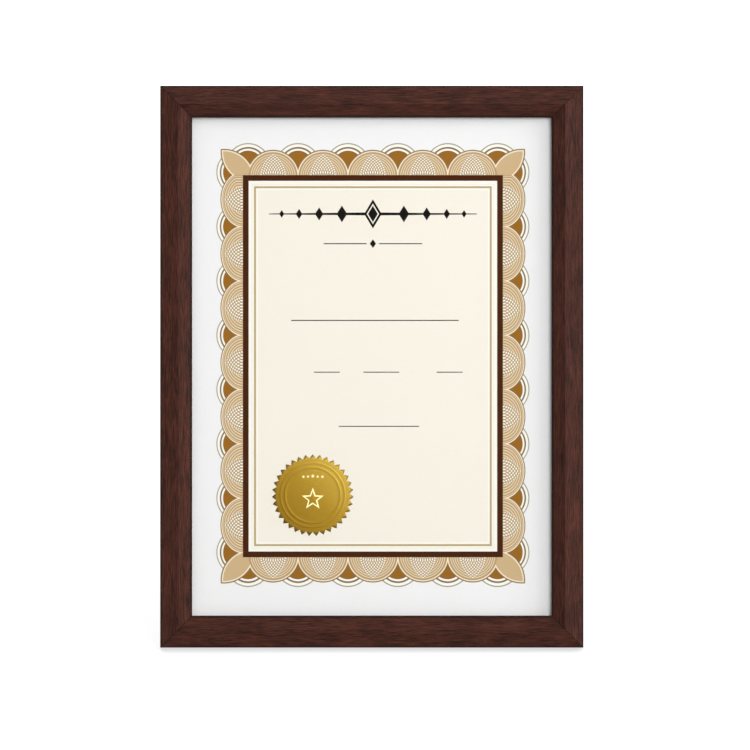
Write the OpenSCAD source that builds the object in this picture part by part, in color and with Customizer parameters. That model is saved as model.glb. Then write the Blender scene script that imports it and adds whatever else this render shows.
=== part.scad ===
// Certificate frame for one portrait sheet, standing on a hinged easel leg.
//
// Everything is drawn upright in the frame's own axes: X runs across the face, Z up the
// face and Y from the face to the back, with Y = 0 on the back plane of the mouldings and
// Z = 0 on their bottom edge. place() then leans the frame back until the bottom rail and
// the foot of the leg both stand on the table, and centres it on its footprint.

/* [Sheet] */
// Width of the sheet on show
sheet_w = 210; // [190:1:240]
// Height of the sheet on show
sheet_h = 297; // [280:1:330]
// Thickness of the sheet
sheet_t = 0.2; // [0.1:0.05:0.4]
// Room left and right of the sheet in the rebate
room_side = 6; // [1:0.5:8]
// Room above and below the sheet in the rebate
room_end = 0.5; // [0.3:0.1:3]

/* [Moulding] */
// Width of the face, from the outer edge to the sight edge
face_w = 17.5; // [16:0.5:22]
// Width of the wall outside the rebate
wall = 5; // [4.5:0.25:6]
// Height of the outer side above the back plane
side_h = 12.5; // [11:0.5:14]
// Height of the ridge above the back plane
ridge_h = 15; // [14.5:0.5:18]
// Distance from the outer edge to the ridge
ridge_in = 10.2; // [9:0.2:12]
// Drop of the small step inside the ridge
step_d = 0.8; // [0.4:0.1:1.5]
// Width of the small step inside the ridge
step_w = 0.45; // [0.3:0.05:1]
// Height of the sight edge above the back plane
lip_h = 10; // [9.5:0.25:12]
// Rounding of the sight edge
lip_r = 1.4; // [0.5:0.1:2]
// Rounding of the outer arris
arris_r = 0.9; // [0.3:0.1:2]
// Rounding of the corners behind
back_r = 0.3; // [0.1:0.05:0.4]
// Rounding of the ridge
ridge_r = 0.5; // [0.2:0.1:1]
// Gap left by each mitre cut
mitre_gap = 0.01; // [0.01:0.01:0.2]

/* [Corner nails] */
// Length of each leg of a corner nail
nail_leg = 5; // [3:0.5:7]
// Thickness of the nail strip
nail_t = 0.5; // [0.3:0.1:0.7]
// Height of the nail in the wall
nail_wall_h = 6.5; // [4:0.5:7]
// Height of the nail above the rebate
nail_lip_h = 4; // [2:0.5:4.5]
// Distance of the wall nail from the two outer edges
nail_wall_in = 1.5; // [1.2:0.1:2]
// Distance of the inner nail from the two outer edges
nail_lip_in = 8; // [7:0.5:9]
// Depth that a nail is driven below the face it enters
nail_sink = 0.2; // [0.1:0.1:0.5]

/* [Layers in the rebate] */
// Thickness of the glass
glass_t = 2; // [1:0.5:3]
// Gap round the glass
glass_gap = 0.5; // [0.3:0.1:1.5]
// Space between glass and sheet, which the foil seal needs
seal_room = 0.4; // [0.35:0.05:0.8]
// Thickness of the packing card
card_t = 1.4; // [1:0.2:2]
// Gap round the packing card
card_gap = 0.8; // [0.4:0.1:2]
// Thickness of the backing board
board_t = 3; // [2.5:0.25:4]
// Gap round the backing board
board_gap = 1.3; // [1.3:0.1:1.8]
// Depth of the board's back below the mouldings' back plane
board_recess = 0.1; // [0.1:0.05:0.3]

/* [Foil seal] */
// Radius at the tips of the seal's teeth
seal_r = 22.4; // [16:0.2:24]
// Depth of the seal's teeth
seal_tooth = 2.3; // [1:0.1:3]
// Number of teeth round the seal
seal_teeth = 35; // [24:1:48]
// Thickness of the foil
seal_t = 0.15; // [0.1:0.05:0.2]
// Height of the embossed rings above the foil
seal_emboss = 0.12; // [0.05:0.01:0.13]
// Width of the embossed rings
seal_ring_w = 0.6; // [0.4:0.1:1]
// Distance of the seal's centre left of the middle
seal_left = 32.4; // [20:0.2:50]
// Height of the seal's centre above the sheet's bottom edge
seal_up = 78; // [60:0.2:100]

/* [Turn buttons] */
// Width of a turn button at its pivot
button_w = 5.2; // [4.8:0.1:5.4]
// Distance from the pivot to the centre of the tongue's end
button_reach = 12; // [9:0.5:16]
// Width of the tongue at its end
tongue_w = 4.4; // [3.6:0.1:4.8]
// Thickness of a turn button
button_t = 0.8; // [0.6:0.1:1.2]
// Length of the lifted finger tip
tip_len = 3; // [2:0.5:4]
// Angle of the lifted finger tip
tip_angle = 22; // [10:1:35]
// Rounding of the finger tip's corners
tip_round = 1.6; // [0.5:0.1:1.7]
// Distance of the side buttons above and below the middle
side_spread = 84; // [60:1:100]
// Distance of the top and bottom buttons left and right of the middle
end_spread = 62; // [60:1:80]
// Distance of a button's edge from the frame's outer edge
button_inset = 0.5; // [0.4:0.05:0.5]

/* [Screws] */
// Diameter of the screw shank
screw_d = 2.2; // [1.8:0.1:2.4]
// Length of the screw below the turn button
screw_len = 9; // [7:0.5:10]
// Diameter of the screw head
screw_head_d = 4.4; // [4:0.1:4.8]
// Height of the screw head
screw_head_h = 1.5; // [1:0.1:2]
// Length of the bars of the cross recess
recess_len = 2.6; // [2:0.1:2.8]
// Width of the bars of the cross recess
recess_w = 0.6; // [0.4:0.1:0.8]
// Depth of the cross recess
recess_d = 0.8; // [0.5:0.1:0.9]

/* [Easel leg] */
// Height of the hinge axis above the frame's bottom edge
hinge_up = 196; // [190:1:205]
// Length of the leg from the hinge axis to the table
leg_len = 193; // [182:1:193]
// Angle that the leg opens to, where its heel stops it
open_angle = 24; // [20:1:28]
// Thickness of the leg
leg_t = 2.5; // [2:0.1:2.8]
// Width of the leg at its top
leg_top_w = 36; // [34:1:46]
// Width of the leg at its foot
leg_foot_w = 70; // [50:1:84]
// Rounding of the leg's corners
leg_corner = 4; // [1:0.5:8]

/* [Easel hinge] */
// Width of the hinge
hinge_w = 32; // [28:1:34]
// Width of the middle knuckle, which belongs to the leg's leaf
knuckle_w = 12; // [8:1:16]
// Length of each leaf from the axis
leaf_len = 22; // [20:1:28]
// Thickness of the leaves
leaf_t = 0.8; // [0.6:0.1:1]
// Rounding of the leaves' corners
leaf_corner = 3; // [1:0.5:4]
// Diameter of the hinge pin
pin_d = 2.1; // [1.8:0.1:2.4]
// Diameter of the pin's peened heads
pin_head_d = 3.1; // [2.9:0.1:3.6]
// Thickness of the pin's heads
pin_head_t = 0.7; // [0.4:0.1:1]
// Length of the heel that stops the leg
heel_len = 7; // [5:0.5:9]
// Distance of the leaf rivets from the axis
rivet_up = 14; // [10:0.5:16]
// Distance of the leaf rivets from the middle
rivet_out = 9.5; // [8:0.5:11]

/* [Rivets] */
// Diameter of the rivet shank
rivet_d = 3; // [2.4:0.1:3.2]
// Diameter of the rivet head
rivet_head_d = 5.6; // [4.8:0.2:6.2]
// Height of the rivet head
rivet_head_h = 1.1; // [0.8:0.1:1.4]
// Thickness of the clinched tail
rivet_tail_h = 0.7; // [0.5:0.1:0.9]
// Distance that the clinched tail spreads past the shank
rivet_tail_out = 1; // [0.6:0.1:1.2]

/* [Hangers] */
// Distance of the portrait hanger's eye below the frame's top edge
hanger_down = 40; // [38:1:48]
// Distance of the landscape hanger's eye inside the frame's side edge
hanger_in = 40; // [38:1:46]
// Width of the hanger strap
strap_w = 7; // [6.5:0.25:8]
// Length of the hanger strap from the eye
strap_len = 8.2; // [7.6:0.2:8.6]
// Thickness of the hanger strap
strap_t = 0.6; // [0.5:0.1:0.8]
// Distance of the strap's rivet from the eye
strap_rivet = 4.7; // [4.5:0.1:5]
// Rounding of the strap's corners
strap_corner = 2; // [1:0.25:3]
// Diameter of the ring wire
wire_d = 1.6; // [1.2:0.1:1.8]
// Width of the ring between the middles of its legs
ring_w = 12.8; // [12:0.2:15]
// Length of the ring's straight legs from the eye
ring_leg = 9.4; // [9:0.2:12]
// Bend radius of the ring's corners
ring_bend = 1.6; // [1.4:0.1:1.8]

/* [Hidden] */
$fn = 48;
dome_fn = 96;            // finer rounding for the low domes of rivets and screws

// Clearances between pieces
seat_gap = 0.05;         // between two flat pieces that lie on each other
pin_gap = 0.05;          // round a pin that turns in its bore
turn_gap = 0.08;         // round a screw in its turn button and round a ring in its eye
knuckle_gap = 0.2;       // between neighbouring knuckles
leaf_gap = 0.5;          // between the knuckles and the full width of a leaf
leg_gap = 0.2;           // between the full width of its leaf and the top of the leg
pin_head_gap = 0.1;      // between the outer knuckles and the pin's heads
hole_gap = 0.1;          // round a rivet or screw that sits in its hole
pilot_past = 0.3;        // depth of a pilot hole past the tip of its screw
eps = 0.01;              // how far a cutter runs past the face that it cuts

// Radii of the seal's embossed rings, as shares of its own
seal_rings = [0.785, 0.675];

// Sizes of the whole frame
rebate_w = sheet_w + 2 * room_side;
rebate_h = sheet_h + 2 * room_end;
frame_w = rebate_w + 2 * wall;
frame_h = rebate_h + 2 * wall;

// Heights of the layers above the back plane
card_at = board_recess + board_t + seat_gap;
sheet_at = card_at + card_t + seat_gap;
glass_at = sheet_at + sheet_t + seal_room;
rebate_d = glass_at + glass_t + seat_gap;

// Y of the board's outer face
board_y = -board_recess;

// Turn buttons
pivot_in = button_w / 2 + button_inset;
screw_hole_r = screw_d / 2 + hole_gap / 2;
button_bore_r = screw_d / 2 + turn_gap;
screw_tip = 2;           // length of the screw's point
pilot_deep = screw_len + pilot_past;

// Easel hinge: the pin's axis, the knuckles and the faces of the leg, measured from the axis
bore_r = pin_d / 2 + pin_gap;
knuckle_r = bore_r + leaf_t;
axis_y = board_y + seat_gap + knuckle_r;
leaf_clear = knuckle_r + leaf_gap;
leg_out = bore_r - seat_gap;
leg_in = leg_out - leg_t;

// Lean of the frame, which follows from where the leg's foot meets the table. The frame stands
// on the rounding of its lower back corner, a little above where the sharp corner would be
lean = atan2(hinge_up - leg_len * cos(open_angle), axis_y + leg_len * sin(open_angle));
leg_tilt = open_angle - lean;
corner_lift = back_r * (cos(lean) + sin(lean) - 1);
axis_height = hinge_up * cos(lean) - axis_y * sin(lean) - corner_lift;
axis_back = hinge_up * sin(lean) + axis_y * cos(lean);

// Length of the leg, from the axis to the table, along a face at offset out from the axis
function foot_at(out) = (axis_height + out * sin(leg_tilt)) / cos(leg_tilt);

// Footprint from the ridge of the bottom rail to the heel of the foot
front_y = -ridge_h * cos(lean) + ridge_in * sin(lean);
foot_y = axis_back + leg_out * cos(leg_tilt) + foot_at(leg_out) * sin(leg_tilt);
mid_y = (front_y + foot_y) / 2;

// Hangers: height of the eye above the board
eye_bore_r = wire_d / 2 + turn_gap;
eye_r = eye_bore_r + strap_t;
eye_y = board_y + seat_gap + eye_r;

WOOD = "#4a2c26";
BOARD = "#2b2a29";
STEEL = "#b9bcc0";
ZINC = "#c9c7b8";

// ---------- helpers ----------

function unit(v) = v / norm(v);

// Points that round the corner at b, between a and c, with radius r
function rounded(a, b, c, r, steps = 6) =
    let (
        u = unit(a - b),
        v = unit(c - b),
        half = acos(u * v) / 2,
        centre = b + unit(u + v) * r / sin(half),
        from = b + u * r / tan(half) - centre,
        start = atan2(from.y, from.x),
        turn = (cross(b - a, c - b) > 0 ? 1 : -1) * (180 - 2 * half)
    )
    [for (i = [0:steps]) centre + r * [cos(start + turn * i / steps), sin(start + turn * i / steps)]];

// Outline through corners [x, y, radius], where radius 0 leaves the corner sharp
function outline(corners) =
    let (n = len(corners), p = [for (c = corners) [c.x, c.y]])
    [
        for (i = [0:n - 1])
            each (corners[i].z > 0
                ? rounded(p[(i + n - 1) % n], p[i], p[(i + 1) % n], corners[i].z)
                : [p[i]])
    ];

// A plate with a 2D outline in X and Z, from y to y + t
module plate(y, t) {
    translate([0, y + t, 0]) rotate([90, 0, 0]) linear_extrude(t) children();
}

// A round bar along Y, from y to y + len
module bar_y(r, y, len) {
    translate([0, y, 0]) rotate([-90, 0, 0]) cylinder(r = r, h = len);
}

// A round bar along X, from x to x + len
module bar_x(r, x, len) {
    translate([x, 0, 0]) rotate([0, 90, 0]) cylinder(r = r, h = len);
}

// Leans the upright frame back on its leg
module place() {
    translate([0, -mid_y, -corner_lift]) rotate([-lean, 0, 0]) children();
}

// Swings what is drawn round the hinge axis, with the leg hanging down, to where it stops
module swing_open() {
    translate([0, axis_y, hinge_up]) rotate([open_angle, 0, 0]) children();
}

// ---------- mouldings ----------

// Section of the moulding: first figure inward from the outer edge, second above the back plane
function section() = outline([
    [0, 0, back_r],
    [0, side_h, arris_r],
    [ridge_in, ridge_h, ridge_r],
    [ridge_in + step_w, ridge_h - step_d, 0],
    [face_w, lip_h, lip_r],
    [face_w, rebate_d, back_r],
    [wall, rebate_d, 0],
    [wall, 0, back_r]
]);

// One corner nail, driven from the face at y = face: two legs of bent strip, each along one of
// the two rails that it joins. As a cutter it is larger by clear and open to that face.
module corner_nail(in, face, height, clear) {
    grow = [clear, clear, clear];
    open_end = [0, clear > 0 ? nail_sink : 0, 0];
    for (leg = [[nail_leg, height, nail_t], [nail_t, height, nail_leg]])
        translate([in, face - nail_sink - height, in] - grow) cube(leg + 2 * grow + open_end);
}

// Both nails of the corner at the origin, one in the wall and one above the rebate
module corner_pair(clear = 0) {
    corner_nail(nail_wall_in, 0, nail_wall_h, clear);
    corner_nail(nail_lip_in, -rebate_d, nail_lip_h, clear);
}

// A mitred length of moulding along X, with its outer edge on Z = 0 and pilot holes at the
// given places from its middle
module rail(length, holes) {
    mitre = [
        [-length / 2 + mitre_gap, 0],
        [length / 2 - mitre_gap, 0],
        [length / 2 - mitre_gap - face_w, face_w],
        [-length / 2 + mitre_gap + face_w, face_w]
    ];
    color(WOOD) difference() {
        intersection() {
            translate([-length / 2, 0, 0]) rotate([90, 0, 90])
                linear_extrude(length) polygon([for (p = section()) [-p.y, p.x]]);
            plate(-ridge_h - eps, ridge_h + 2 * eps) polygon(mitre);
        }
        for (side = [0, 1])
            mirror([side, 0, 0]) translate([-length / 2, 0, 0]) corner_pair(seat_gap);
        for (x = holes)
            translate([x, 0, pivot_in]) bar_y(screw_hole_r, -pilot_deep, pilot_deep + eps);
    }
}

module end_rail() { rail(frame_w, [-1, 1] * end_spread); }
module side_rail() { rail(frame_h, [-1, 1] * side_spread); }

module rail_bottom() { end_rail(); }
module rail_top() { translate([0, 0, frame_h]) rotate([0, 180, 0]) end_rail(); }
module rail_left() { translate([-frame_w / 2, 0, frame_h / 2]) rotate([0, 90, 0]) side_rail(); }
module rail_right() { translate([frame_w / 2, 0, frame_h / 2]) rotate([0, -90, 0]) side_rail(); }

module corner_nails() {
    color(STEEL) for (side = [0, 1]) for (end = [0, 1])
        translate([0, 0, end * frame_h]) mirror([side, 0, 0]) mirror([0, 0, end])
            translate([-frame_w / 2, 0, 0]) corner_pair();
}

// ---------- layers in the rebate ----------

// A flat layer that fills the rebate but for a gap, with its back face at height at
module layer(at, t, gap) {
    plate(-at - t, t) translate([0, frame_h / 2])
        square([rebate_w - 2 * gap, rebate_h - 2 * gap], center = true);
}

module glass() { color([0.85, 0.93, 0.92, 0.3]) layer(glass_at, glass_t, glass_gap); }
module packing_card() { color("#d9d2c3") layer(card_at, card_t, card_gap); }

module certificate_sheet() {
    color("#f3f2ef") plate(-sheet_at - sheet_t, sheet_t)
        translate([0, frame_h / 2]) square([sheet_w, sheet_h], center = true);
}

// Saw-toothed foil disc with two embossed rings
module foil_seal() {
    teeth = [
        for (i = [0:2 * seal_teeth - 1])
            let (r = i % 2 == 0 ? seal_r : seal_r - seal_tooth, a = 180 * i / seal_teeth)
            r * [sin(a), cos(a)]
    ];
    face = -sheet_at - sheet_t;
    color("#b8962f") translate([-seal_left, 0, frame_h / 2 - sheet_h / 2 + seal_up]) {
        plate(face - seal_t, seal_t) polygon(teeth);
        for (r = seal_rings * seal_r)
            plate(face - seal_t - seal_emboss, seal_emboss + eps) difference() {
                circle(r + seal_ring_w / 2);
                circle(r - seal_ring_w / 2);
            }
    }
}

rivet_tail_r = rivet_d / 2 + rivet_tail_out;

// Places of the rivets on the board, in X and Z
board_rivets = concat(
    [for (s = [-1, 1]) [s * rivet_out, hinge_up + rivet_up]],
    [[0, frame_h - hanger_down - strap_rivet]],
    [[frame_w / 2 - hanger_in - strap_rivet, frame_h / 2]]
);

// Hole for a rivet, with a recess for its tail in the inner face at y = inner
module rivet_hole(inner, outer) {
    bar_y(rivet_d / 2 + hole_gap, inner - eps, outer - inner + 2 * eps);
    bar_y(rivet_tail_r + hole_gap, inner - eps, rivet_tail_h + 2 * seat_gap + eps);
}

module backing_board() {
    inner = board_y - board_t;
    color(BOARD) difference() {
        layer(board_recess, board_t, board_gap);
        for (p = board_rivets) translate([p.x, 0, p.y]) rivet_hole(inner, board_y);
    }
}

// ---------- rivets ----------

// A dome of radius r and height h on Z = 0, as half a section for rotate_extrude
module dome_section(r, h) {
    curve_r = (r * r + h * h) / (2 * h);
    intersection() {
        translate([0, h - curve_r]) circle(curve_r, $fn = dome_fn);
        square([r, h]);
    }
}

// A rivet along Y that clamps what lies between y = -grip and y = 0, with its head at y > 0
module rivet(grip) {
    end = grip - seat_gap;
    rotate([-90, 0, 0]) rotate_extrude() {
        translate([0, seat_gap]) dome_section(rivet_head_d / 2, rivet_head_h);
        translate([0, -end]) square([rivet_d / 2, end + seat_gap + eps]);
        translate([0, -end]) square([rivet_tail_r, rivet_tail_h]);
    }
}

leaf_face = board_y + seat_gap + leaf_t;
strap_face = board_y + seat_gap + strap_t;

module hinge_board_rivets() {
    color(ZINC) for (i = [0, 1])
        translate([board_rivets[i].x, leaf_face, board_rivets[i].y]) rivet(leaf_t + seat_gap + board_t);
}

module hanger_rivets() {
    color(ZINC) for (i = [2, 3])
        translate([board_rivets[i].x, strap_face, board_rivets[i].y]) rivet(strap_t + seat_gap + board_t);
}

// ---------- turn buttons ----------

// Places of the pivots in X and Z, and the turn that points each tongue inward
pivots = [
    [-end_spread, frame_h - pivot_in, 180],
    [end_spread, frame_h - pivot_in, 180],
    [-end_spread, pivot_in, 0],
    [end_spread, pivot_in, 0],
    [-frame_w / 2 + pivot_in, frame_h / 2 + side_spread, 90],
    [-frame_w / 2 + pivot_in, frame_h / 2 - side_spread, 90],
    [frame_w / 2 - pivot_in, frame_h / 2 + side_spread, -90],
    [frame_w / 2 - pivot_in, frame_h / 2 - side_spread, -90]
];

// Moves what is drawn round a pivot at the origin, with its tongue along +Z, to pivot i
module at_pivot(i) {
    translate([pivots[i].x, 0, pivots[i].y]) rotate([0, pivots[i].z, 0]) children();
}

// Stamped steel button: a tapered tongue round the pivot with a lifted finger tip
module turn_button(i) {
    r1 = button_w / 2;
    r2 = tongue_w / 2;
    slant = asin((r1 - r2) / button_reach);
    color(STEEL) at_pivot(i) difference() {
        union() {
            plate(seat_gap, button_t) {
                circle(r1);
                polygon([
                    r1 * [-cos(slant), sin(slant)],
                    [-r2 * cos(slant), button_reach],
                    [r2 * cos(slant), button_reach],
                    r1 * [cos(slant), sin(slant)]
                ]);
            }
            translate([0, seat_gap, button_reach]) rotate([-tip_angle, 0, 0])
                plate(0, button_t) polygon(outline([
                    [-r2 * cos(slant), 0, 0],
                    [-r2 * cos(slant), tip_len, tip_round],
                    [r2 * cos(slant), tip_len, tip_round],
                    [r2 * cos(slant), 0, 0]
                ]));
        }
        bar_y(button_bore_r, seat_gap - eps, button_t + 2 * eps);
    }
}

module turn_button_top_left() { turn_button(0); }
module turn_button_top_right() { turn_button(1); }
module turn_button_bottom_left() { turn_button(2); }
module turn_button_bottom_right() { turn_button(3); }
module turn_button_left_upper() { turn_button(4); }
module turn_button_left_lower() { turn_button(5); }
module turn_button_right_upper() { turn_button(6); }
module turn_button_right_lower() { turn_button(7); }

// Pan-head screw with a cross recess, its head just clear of the turn button
module screw() {
    seat = button_t + 2 * seat_gap;
    difference() {
        rotate([-90, 0, 0]) rotate_extrude() {
            translate([0, seat]) dome_section(screw_head_d / 2, screw_head_h);
            polygon([
                [0, -screw_len],
                [screw_d / 2, screw_tip - screw_len],
                [screw_d / 2, seat + eps],
                [0, seat + eps]
            ]);
        }
        for (a = [0, 90])
            rotate([0, a, 0]) translate([-recess_len / 2, seat + screw_head_h - recess_d, -recess_w / 2])
                cube([recess_len, recess_d + eps, recess_w]);
    }
}

module turn_button_screws() {
    color(ZINC) for (i = [0:len(pivots) - 1]) at_pivot(i) screw();
}

// ---------- easel hinge and leg ----------

// Outline of a leaf below the axis: full width from leaf_clear down, and rivet holes
module leaf_outline() {
    difference() {
        polygon(outline([
            [-hinge_w / 2, -leaf_clear, 0],
            [-hinge_w / 2, -leaf_len, leaf_corner],
            [hinge_w / 2, -leaf_len, leaf_corner],
            [hinge_w / 2, -leaf_clear, 0]
        ]));
        for (s = [-1, 1]) translate([s * rivet_out, -rivet_up]) circle(rivet_d / 2 + hole_gap);
    }
}

// The knuckles of one leaf between x = from and x = to, with the neck that joins them to
// their leaf below the axis, whose inner face lies at y = face
module knuckle(from, to, face) {
    bar_x(knuckle_r, from, to - from);
    translate([from, face, -leaf_clear - eps]) cube([to - from, leaf_t, leaf_clear + eps]);
}

outer_from = knuckle_w / 2 + knuckle_gap / 2;

// Leaf that is riveted to the board, above the axis
module hinge_board_leaf() {
    color(ZINC) translate([0, axis_y, hinge_up]) mirror([0, 0, 1]) difference() {
        union() {
            plate(-knuckle_r, leaf_t) leaf_outline();
            knuckle(outer_from, hinge_w / 2, -knuckle_r);
            knuckle(-hinge_w / 2, -outer_from, -knuckle_r);
        }
        bar_x(bore_r, -hinge_w, 2 * hinge_w);
    }
}

// Leaf that is riveted to the leg, with the heel that meets the board's leaf when the leg is open
module hinge_leg_leaf() {
    half = knuckle_w / 2 - knuckle_gap / 2;
    color(ZINC) swing_open() difference() {
        union() {
            plate(knuckle_r - leaf_t, leaf_t) leaf_outline();
            knuckle(-half, half, knuckle_r - leaf_t);
            rotate([-open_angle, 0, 0]) translate([-half, leaf_t + seat_gap - knuckle_r, 0])
                cube([2 * half, leaf_t, heel_len]);
        }
        bar_x(bore_r, -hinge_w, 2 * hinge_w);
    }
}

// Pin with a peened head at each end
module hinge_pin() {
    color(STEEL) translate([0, axis_y, hinge_up]) {
        half = hinge_w / 2 + pin_head_gap;
        bar_x(pin_d / 2, -half - eps, 2 * (half + eps));
        for (x = [-half - pin_head_t, half]) bar_x(pin_head_d / 2, x, pin_head_t);
    }
}

// Leg of faced hardboard, tapered from the hinge to the foot and cut to stand flat on the table
module easel_leg() {
    top = -leaf_clear - leg_gap;
    foot = -max(foot_at(leg_in), foot_at(leg_out));
    color(BOARD) swing_open() difference() {
        intersection() {
            plate(leg_in, leg_t) polygon(outline([
                [-leg_top_w / 2, top, leg_corner],
                [leg_top_w / 2, top, leg_corner],
                [leg_foot_w / 2, foot, leg_corner],
                [-leg_foot_w / 2, foot, leg_corner]
            ]));
            translate([-leg_foot_w, 0, 0]) rotate([90, 0, 90]) linear_extrude(2 * leg_foot_w) polygon([
                [leg_in, 0],
                [leg_out, 0],
                [leg_out, -foot_at(leg_out)],
                [leg_in, -foot_at(leg_in)]
            ]);
        }
        for (s = [-1, 1]) translate([s * rivet_out, 0, -rivet_up]) rivet_hole(leg_in, leg_out);
    }
}

module hinge_leg_rivets() {
    color(ZINC) swing_open() for (s = [-1, 1])
        translate([s * rivet_out, knuckle_r, -rivet_up]) rivet(leaf_t + seat_gap + leg_t);
}

// ---------- hangers ----------

// Moves what is drawn round an eye at the origin, hanging down, to the portrait hanger
module at_portrait() { translate([0, eye_y, frame_h - hanger_down]) children(); }

// The same for the landscape hanger, whose ring lies towards the middle
module at_landscape() {
    translate([frame_w / 2 - hanger_in, eye_y, frame_h / 2]) rotate([0, 90, 0]) children();
}

// Strap with a rolled eye for the ring
module strap() {
    difference() {
        union() {
            bar_x(eye_r, -strap_w / 2, strap_w);
            plate(-eye_r, strap_t) polygon(outline([
                [-strap_w / 2, 0, 0],
                [-strap_w / 2, -strap_len, strap_corner],
                [strap_w / 2, -strap_len, strap_corner],
                [strap_w / 2, 0, 0]
            ]));
        }
        bar_x(eye_bore_r, -strap_w, 2 * strap_w);
        translate([0, 0, -strap_rivet]) bar_y(rivet_d / 2 + hole_gap, -eye_r - eps, strap_t + 2 * eps);
    }
}

// A bent length of wire in the XZ plane, round centre [x, z], from angle start through angle sweep
module bend(centre, radius, start, sweep) {
    translate([centre.x, 0, centre.y]) rotate([90, 0, 0]) rotate([0, 0, start])
        rotate_extrude(angle = sweep) translate([radius, 0]) circle(wire_d / 2);
}

// D-shaped ring of wire, whose straight top turns in the eye
module ring() {
    half = ring_w / 2;
    bar_x(wire_d / 2, ring_bend - half, ring_w - 2 * ring_bend);
    for (s = [-1, 1])
        translate([s * half, 0, -ring_leg]) cylinder(r = wire_d / 2, h = ring_leg - ring_bend);
    bend([half - ring_bend, -ring_bend], ring_bend, 0, 90);
    bend([ring_bend - half, -ring_bend], ring_bend, 90, 90);
    bend([0, -ring_leg], half, 180, 180);
}

module hanger_strap_portrait() { color(ZINC) at_portrait() strap(); }

// This ring hangs plumb while the frame leans back
module hanger_ring_portrait() { color(STEEL) at_portrait() rotate([lean, 0, 0]) ring(); }

module hanger_strap_landscape() { color(ZINC) at_landscape() strap(); }
module hanger_ring_landscape() { color(STEEL) at_landscape() ring(); }

// ---------- the nodes ----------

place() rail_bottom();
place() rail_top();
place() rail_left();
place() rail_right();
place() corner_nails();
place() glass();
place() certificate_sheet();
place() foil_seal();
place() packing_card();
place() backing_board();
place() turn_button_top_left();
place() turn_button_top_right();
place() turn_button_bottom_left();
place() turn_button_bottom_right();
place() turn_button_left_upper();
place() turn_button_left_lower();
place() turn_button_right_upper();
place() turn_button_right_lower();
place() turn_button_screws();
place() hinge_board_leaf();
place() hinge_leg_leaf();
place() hinge_pin();
place() hinge_board_rivets();
place() hinge_leg_rivets();
place() easel_leg();
place() hanger_strap_portrait();
place() hanger_ring_portrait();
place() hanger_strap_landscape();
place() hanger_ring_landscape();
place() hanger_rivets();
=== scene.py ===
# %% [markdown]
# # A certificate frame, dressed for its portrait
#
# The solids of the frame come from a packed CAD model: four mitred mouldings, a pane, a sheet, a
# board, turn buttons, hanging rings and an easel leg. They are already the right size and in the
# right place. This lesson gives each of them the surface that the real one has, adds the print on
# the sheet and the embossing on its foil seal, and sets up a plain studio round it.

# %% Load the solids
from math import atan2, cos, degrees, pi, radians, sin, sqrt

import bpy
from mathutils import Matrix, Vector


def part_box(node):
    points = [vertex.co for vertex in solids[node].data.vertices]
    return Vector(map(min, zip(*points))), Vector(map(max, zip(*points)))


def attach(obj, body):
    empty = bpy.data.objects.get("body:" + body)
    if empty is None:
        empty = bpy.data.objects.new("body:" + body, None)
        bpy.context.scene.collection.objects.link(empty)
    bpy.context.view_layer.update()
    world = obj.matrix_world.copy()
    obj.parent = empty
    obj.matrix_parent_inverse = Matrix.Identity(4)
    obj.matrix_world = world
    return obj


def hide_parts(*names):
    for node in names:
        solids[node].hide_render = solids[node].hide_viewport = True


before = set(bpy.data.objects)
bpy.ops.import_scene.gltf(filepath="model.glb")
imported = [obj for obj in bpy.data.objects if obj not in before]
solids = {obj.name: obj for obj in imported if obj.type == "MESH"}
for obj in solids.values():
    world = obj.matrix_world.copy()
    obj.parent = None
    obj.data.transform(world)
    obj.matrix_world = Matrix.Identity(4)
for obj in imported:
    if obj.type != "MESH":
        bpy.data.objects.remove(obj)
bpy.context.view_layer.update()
MM = 0.001


def short(numbers, places=4):
    """The numbers rounded, for printing."""
    return tuple(round(number, places) for number in numbers)


# %% [markdown]
# ## The frame's own axes
#
# The frame leans back on its leg, so "up the face" isn't the world's Z. Grain, print and camera all
# follow the face, so the lean is needed everywhere. It could be typed in, but the glass pane
# already knows it: it is a thin flat box, and the height and depth of its bounding box give the
# angle, once its own thickness is known. The thickness adds a little to both, by an amount that
# depends on the angle, so the sum is worked out a few times over until it settles.

# %% Measure the lean and the middle of the face
GLASS_THICK = 2.0 * MM
LEAN_ROUNDS = 20


def lean_of(node, thickness):
    """Angle of a thin upright plate from the vertical, from its box."""
    low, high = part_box(node)
    deep, tall = high.y - low.y, high.z - low.z
    lean = atan2(deep, tall)
    for _ in range(LEAN_ROUNDS):
        height = (tall - thickness * sin(lean)) / cos(lean)
        lean = atan2(deep - thickness * cos(lean), height * cos(lean))
    return lean


lean = lean_of("glass", GLASS_THICK)
right = Vector((1, 0, 0))
up = Vector((0, sin(lean), cos(lean)))
out = Vector((0, -cos(lean), sin(lean)))
low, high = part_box("certificate_sheet")
sheet_middle = (low + high) / 2
print("lean", round(degrees(lean), 2), "degrees, middle of the sheet", short(sheet_middle))

# %% [markdown]
# ## Writing shader maths as plain expressions
#
# A shader is a graph of nodes, and building one call by call hides what it works out. Here a small
# class wraps a socket, and its operators add the Math nodes, so a mask can be written as
# `1 - ring * inside`. Colours and vectors go through Mix and Vector Math instead, because a Math
# node turns them grey.

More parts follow.
